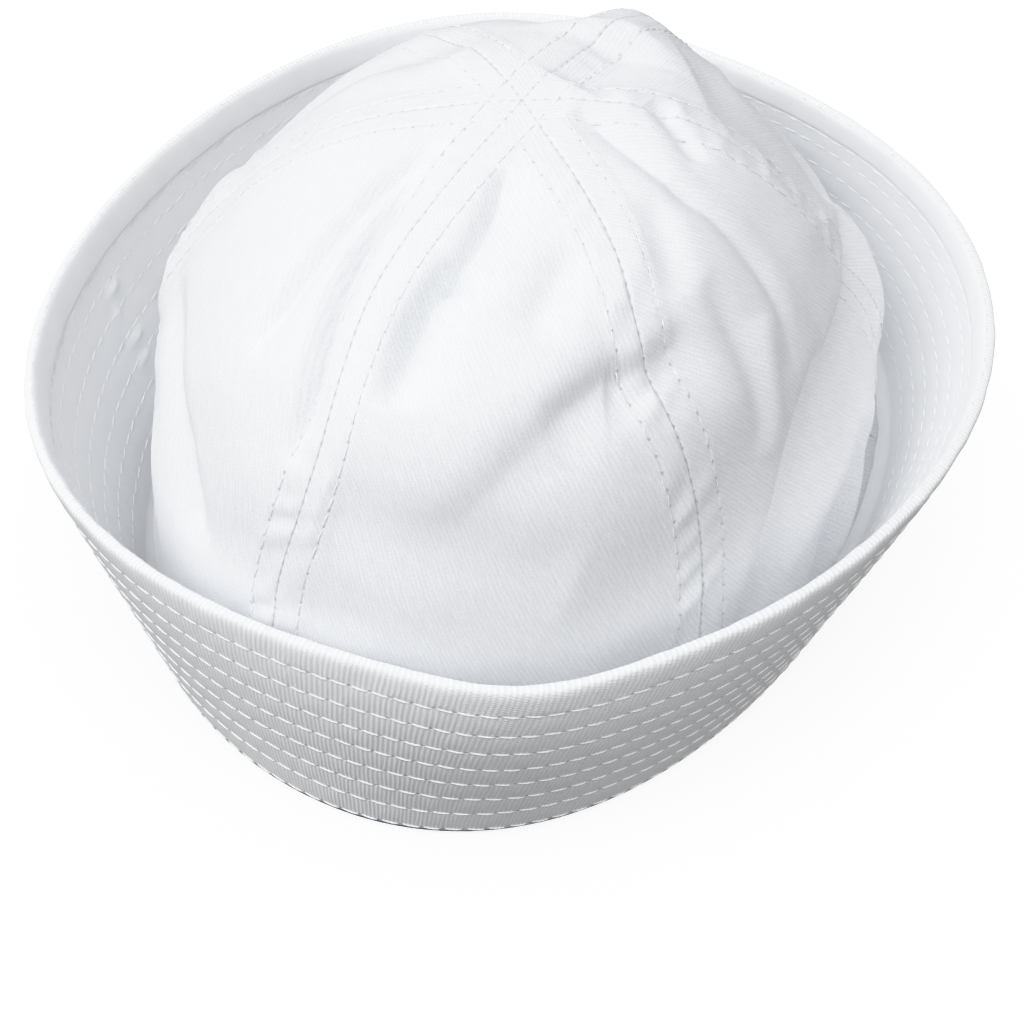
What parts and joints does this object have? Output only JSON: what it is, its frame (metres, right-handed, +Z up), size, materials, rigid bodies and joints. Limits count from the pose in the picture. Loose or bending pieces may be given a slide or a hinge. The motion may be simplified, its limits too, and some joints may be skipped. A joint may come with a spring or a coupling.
{
  "type": "sailor cap",
  "caption": "White cotton sailor cap: a soft domed crown of sewn gores inside an upturned, row-stitched brim. Worn on the head; off it, it stands on the fold at the brim's foot.",
  "frame": {"origin": "on the surface the cap stands on, under the middle of its outline", "axes": "+Z up through the crown, -Y towards the front of the cap, +X to the right of a viewer who faces the front"},
  "size_m": [0.2092, 0.2109, 0.1144],
  "materials": {
    "crown_twill": "matte bleached cotton twill",
    "brim_twill": "matte bleached cotton twill, doubled and row-stitched"
  },
  "bodies": {
    "root": {"gore_front": "crown_twill", "gore_front_right": "crown_twill", "gore_back_right": "crown_twill", "gore_back": "crown_twill", "gore_back_left": "crown_twill", "gore_front_left": "crown_twill", "brim": "brim_twill"}
  },
  "joints": []
}
